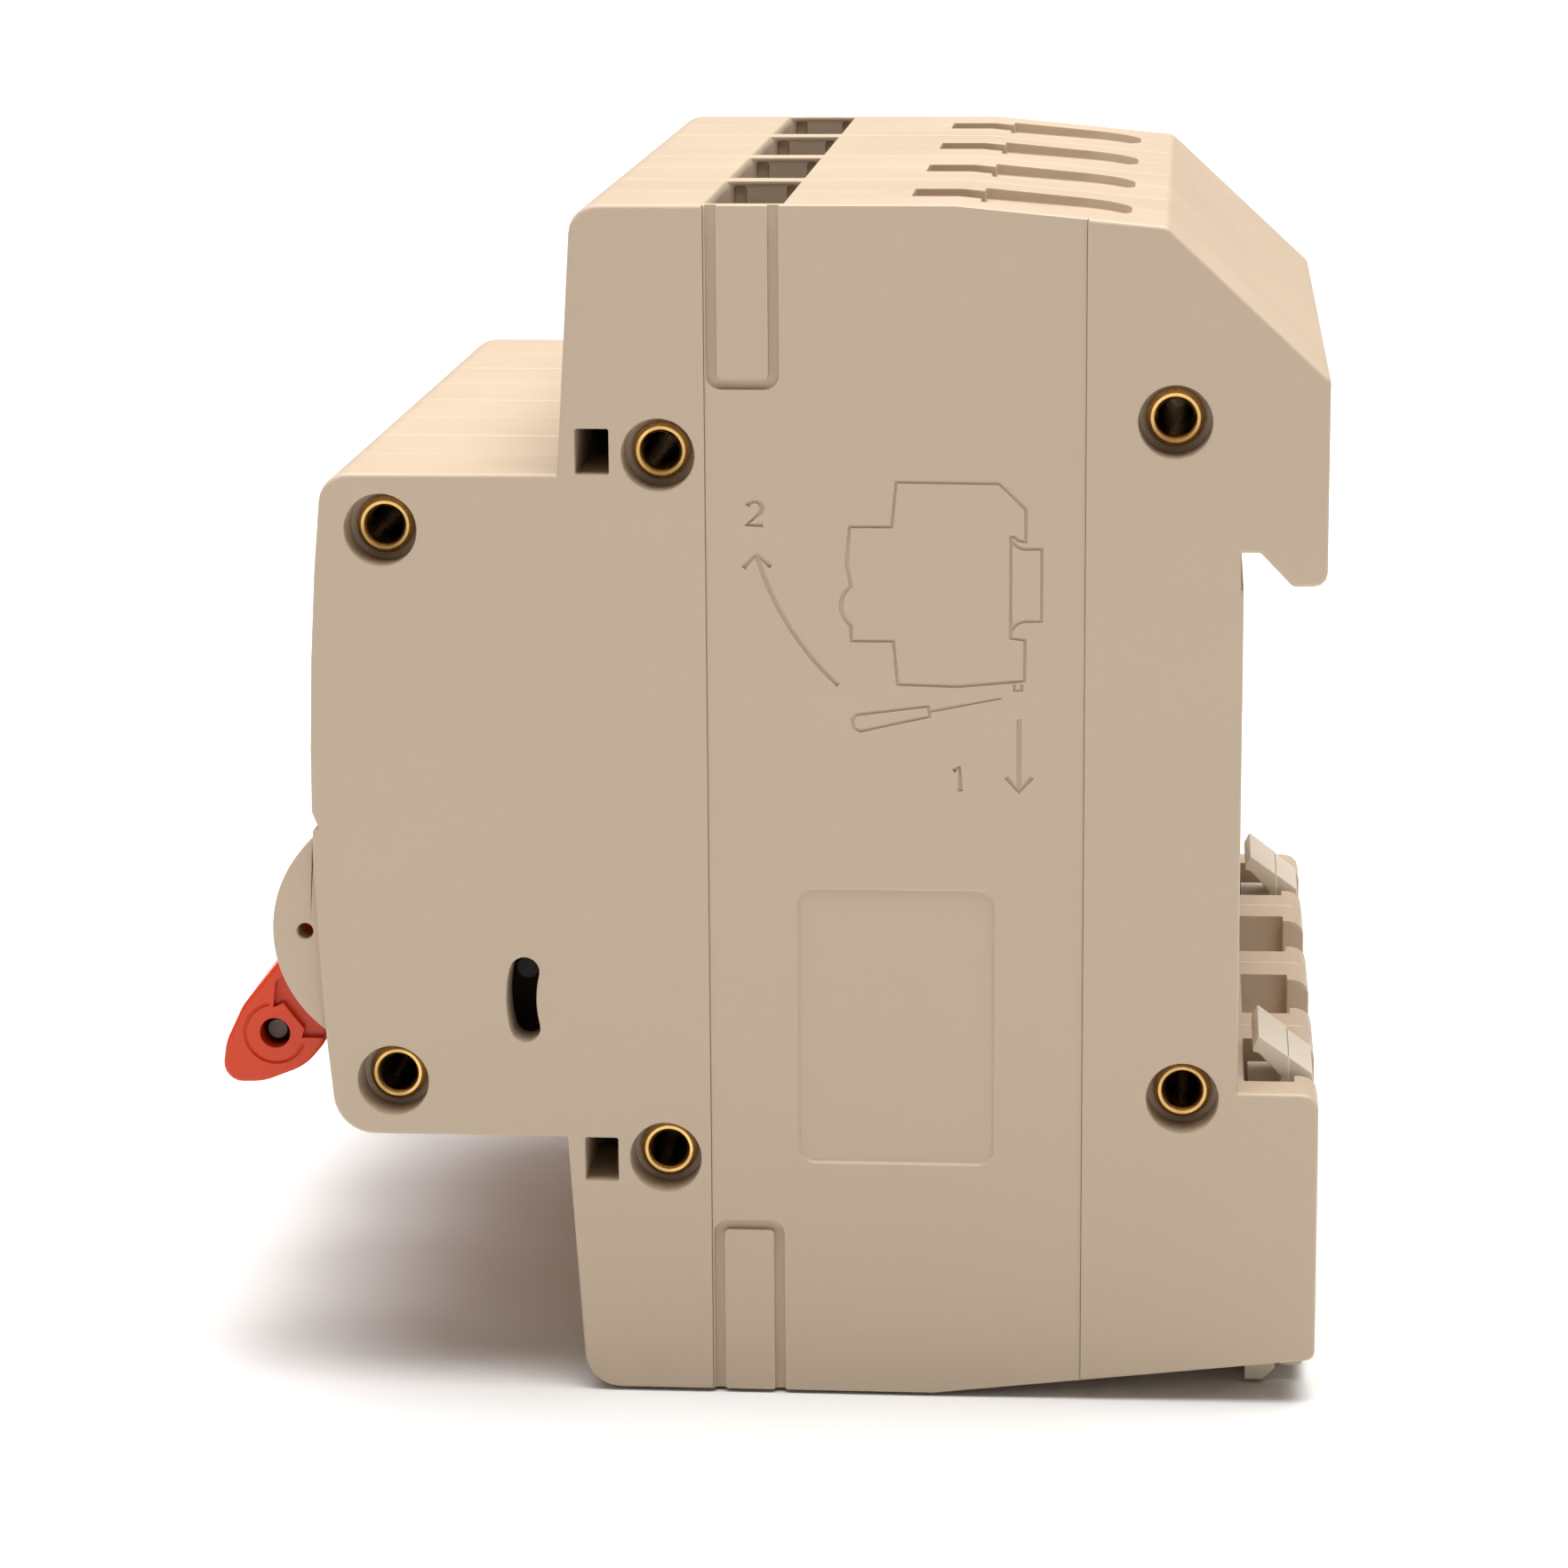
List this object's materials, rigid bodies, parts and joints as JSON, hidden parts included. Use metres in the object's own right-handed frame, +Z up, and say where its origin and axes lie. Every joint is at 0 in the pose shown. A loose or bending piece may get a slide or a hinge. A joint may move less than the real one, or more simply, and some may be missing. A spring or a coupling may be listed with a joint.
{
  "type": "modular circuit breaker",
  "caption": "DIN-rail modular circuit breaker with tied toggles, tube-riveted moulded poles, cage terminals and sprung rail clips.",
  "frame": {"origin": "centre of the overall box at its base, the plane of the flat bottom face of the case", "axes": "+X across the poles, +Y from the toggles to the rail, +Z up from load terminals to line terminals"},
  "size_m": [0.0706, 0.0742, 0.0802],
  "materials": {
    "case_plastic": "satin moulded",
    "toggle_plastic": "gloss moulded",
    "clip_plastic": "satin moulded",
    "trip_plastic": "matt moulded",
    "rivet_brass": "rolled",
    "tie_rod_steel": "drawn",
    "screw_steel": "zinc plated",
    "cage_steel": "zinc plated",
    "strip_copper": "rolled copper",
    "arm_copper": "rolled copper",
    "bimetal": "rolled",
    "coil_winding": "enamelled copper wire",
    "chute_steel": "pressed"
  },
  "bodies": {
    "case": {"pole_1_left_shell": "case_plastic", "pole_1_right_shell": "case_plastic", "pole_1_fixed_contact": "strip_copper", "pole_1_bimetal_strip": "bimetal", "pole_1_trip_coil": "coil_winding", "pole_1_arc_chute": "chute_steel", "pole_2_left_shell": "case_plastic", "pole_2_right_shell": "case_plastic", "pole_2_fixed_contact": "strip_copper", "pole_2_bimetal_strip": "bimetal", "pole_2_trip_coil": "coil_winding", "pole_2_arc_chute": "chute_steel", "pole_3_left_shell": "case_plastic", "pole_3_right_shell": "case_plastic", "pole_3_fixed_contact": "strip_copper", "pole_3_bimetal_strip": "bimetal", "pole_3_trip_coil": "coil_winding", "pole_3_arc_chute": "chute_steel", "pole_4_left_shell": "case_plastic", "pole_4_right_shell": "case_plastic", "pole_4_fixed_contact": "strip_copper", "pole_4_bimetal_strip": "bimetal", "pole_4_trip_coil": "coil_winding", "pole_4_arc_chute": "chute_steel", "rivet_upper_shoulder": "rivet_brass", "rivet_lower_shoulder": "rivet_brass", "rivet_upper_nose": "rivet_brass", "rivet_lower_nose": "rivet_brass", "rivet_upper_back": "rivet_brass", "rivet_lower_back": "rivet_brass"},
    "toggle_bar": {"pole_1_toggle": "toggle_plastic", "pole_2_toggle": "toggle_plastic", "pole_3_toggle": "toggle_plastic", "pole_4_toggle": "toggle_plastic", "tie_rod": "tie_rod_steel"},
    "trip_bar_body": {"trip_bar": "trip_plastic"},
    "contact_1": {"pole_1_contact_arm": "arm_copper"},
    "contact_2": {"pole_2_contact_arm": "arm_copper"},
    "contact_3": {"pole_3_contact_arm": "arm_copper"},
    "contact_4": {"pole_4_contact_arm": "arm_copper"},
    "rail_clip_1": {"pole_1_rail_clip": "clip_plastic"},
    "rail_clip_4": {"pole_4_rail_clip": "clip_plastic"},
    "screw_1_line": {"pole_1_line_screw": "screw_steel"},
    "cage_1_line": {"pole_1_line_cage": "cage_steel"},
    "screw_1_load": {"pole_1_load_screw": "screw_steel"},
    "cage_1_load": {"pole_1_load_cage": "cage_steel"},
    "screw_2_line": {"pole_2_line_screw": "screw_steel"},
    "cage_2_line": {"pole_2_line_cage": "cage_steel"},
    "screw_2_load": {"pole_2_load_screw": "screw_steel"},
    "cage_2_load": {"pole_2_load_cage": "cage_steel"},
    "screw_3_line": {"pole_3_line_screw": "screw_steel"},
    "cage_3_line": {"pole_3_line_cage": "cage_steel"},
    "screw_3_load": {"pole_3_load_screw": "screw_steel"},
    "cage_3_load": {"pole_3_load_cage": "cage_steel"},
    "screw_4_line": {"pole_4_line_screw": "screw_steel"},
    "cage_4_line": {"pole_4_line_cage": "cage_steel"},
    "screw_4_load": {"pole_4_load_screw": "screw_steel"},
    "cage_4_load": {"pole_4_load_cage": "cage_steel"}
  },
  "joints": [
    {"name": "toggle_turn", "type": "hinge", "parent": "case", "child": "toggle_bar", "pos_m": [0, -0.02441, 0.03145], "axis": [-1, 0, 0], "range_deg": [0, 80]},
    {"name": "contact_1_close", "type": "hinge", "parent": "case", "child": "contact_1", "pos_m": [-0.02655, -0.01431, 0.0361], "axis": [-1, 0, 0], "range_deg": [0, 10]},
    {"name": "contact_2_close", "type": "hinge", "parent": "case", "child": "contact_2", "pos_m": [-0.00885, -0.01431, 0.0361], "axis": [-1, 0, 0], "range_deg": [0, 10]},
    {"name": "contact_3_close", "type": "hinge", "parent": "case", "child": "contact_3", "pos_m": [0.00885, -0.01431, 0.0361], "axis": [-1, 0, 0], "range_deg": [0, 10]},
    {"name": "contact_4_close", "type": "hinge", "parent": "case", "child": "contact_4", "pos_m": [0.02655, -0.01431, 0.0361], "axis": [-1, 0, 0], "range_deg": [0, 10]},
    {"name": "trip_bar_turn", "type": "hinge", "parent": "case", "child": "trip_bar_body", "pos_m": [0, -0.00806, 0.0271], "axis": [1, 0, 0], "range_deg": [0, 22], "stiffness_Nm_per_rad": 0.005, "springref_deg": -22.92},
    {"name": "rail_clip_1_release", "type": "slide", "parent": "case", "child": "rail_clip_1", "axis": [0, 0, -1], "range_m": [0, 0.0035], "stiffness_N_per_m": 1500, "springref_m": -0.002},
    {"name": "rail_clip_4_release", "type": "slide", "parent": "case", "child": "rail_clip_4", "axis": [0, 0, -1], "range_m": [0, 0.0035], "stiffness_N_per_m": 1500, "springref_m": -0.002},
    {"name": "screw_1_line_turn", "type": "hinge", "parent": "case", "child": "screw_1_line", "pos_m": [-0.02655, -0.00831, 0.0716], "axis": [0, 1, 0], "range_deg": [0, 1080]},
    {"name": "cage_1_line_lift", "type": "slide", "parent": "case", "child": "cage_1_line", "axis": [0, -1, 0], "range_m": [0, 0.0024]},
    {"name": "screw_1_load_turn", "type": "hinge", "parent": "case", "child": "screw_1_load", "pos_m": [-0.02655, -0.00831, 0.0086], "axis": [0, 1, 0], "range_deg": [0, 1080]},
    {"name": "cage_1_load_lift", "type": "slide", "parent": "case", "child": "cage_1_load", "axis": [0, -1, 0], "range_m": [0, 0.0024]},
    {"name": "screw_2_line_turn", "type": "hinge", "parent": "case", "child": "screw_2_line", "pos_m": [-0.00885, -0.00831, 0.0716], "axis": [0, 1, 0], "range_deg": [0, 1080]},
    {"name": "cage_2_line_lift", "type": "slide", "parent": "case", "child": "cage_2_line", "axis": [0, -1, 0], "range_m": [0, 0.0024]},
    {"name": "screw_2_load_turn", "type": "hinge", "parent": "case", "child": "screw_2_load", "pos_m": [-0.00885, -0.00831, 0.0086], "axis": [0, 1, 0], "range_deg": [0, 1080]},
    {"name": "cage_2_load_lift", "type": "slide", "parent": "case", "child": "cage_2_load", "axis": [0, -1, 0], "range_m": [0, 0.0024]},
    {"name": "screw_3_line_turn", "type": "hinge", "parent": "case", "child": "screw_3_line", "pos_m": [0.00885, -0.00831, 0.0716], "axis": [0, 1, 0], "range_deg": [0, 1080]},
    {"name": "cage_3_line_lift", "type": "slide", "parent": "case", "child": "cage_3_line", "axis": [0, -1, 0], "range_m": [0, 0.0024]},
    {"name": "screw_3_load_turn", "type": "hinge", "parent": "case", "child": "screw_3_load", "pos_m": [0.00885, -0.00831, 0.0086], "axis": [0, 1, 0], "range_deg": [0, 1080]},
    {"name": "cage_3_load_lift", "type": "slide", "parent": "case", "child": "cage_3_load", "axis": [0, -1, 0], "range_m": [0, 0.0024]},
    {"name": "screw_4_line_turn", "type": "hinge", "parent": "case", "child": "screw_4_line", "pos_m": [0.02655, -0.00831, 0.0716], "axis": [0, 1, 0], "range_deg": [0, 1080]},
    {"name": "cage_4_line_lift", "type": "slide", "parent": "case", "child": "cage_4_line", "axis": [0, -1, 0], "range_m": [0, 0.0024]},
    {"name": "screw_4_load_turn", "type": "hinge", "parent": "case", "child": "screw_4_load", "pos_m": [0.02655, -0.00831, 0.0086], "axis": [0, 1, 0], "range_deg": [0, 1080]},
    {"name": "cage_4_load_lift", "type": "slide", "parent": "case", "child": "cage_4_load", "axis": [0, -1, 0], "range_m": [0, 0.0024]}
  ],
  "couplings": [
    {"joint": "contact_1_close", "follows": "toggle_turn", "ratio": 0.125},
    {"joint": "contact_2_close", "follows": "toggle_turn", "ratio": 0.125},
    {"joint": "contact_3_close", "follows": "toggle_turn", "ratio": 0.125},
    {"joint": "contact_4_close", "follows": "toggle_turn", "ratio": 0.125},
    {"joint": "screw_1_line_turn", "follows": "cage_1_line_lift", "rad_per_m": 7853.9},
    {"joint": "screw_1_load_turn", "follows": "cage_1_load_lift", "rad_per_m": 7853.9},
    {"joint": "screw_2_line_turn", "follows": "cage_2_line_lift", "rad_per_m": 7853.9},
    {"joint": "screw_2_load_turn", "follows": "cage_2_load_lift", "rad_per_m": 7853.9},
    {"joint": "screw_3_line_turn", "follows": "cage_3_line_lift", "rad_per_m": 7853.9},
    {"joint": "screw_3_load_turn", "follows": "cage_3_load_lift", "rad_per_m": 7853.9},
    {"joint": "screw_4_line_turn", "follows": "cage_4_line_lift", "rad_per_m": 7853.9},
    {"joint": "screw_4_load_turn", "follows": "cage_4_load_lift", "rad_per_m": 7853.9}
  ]
}
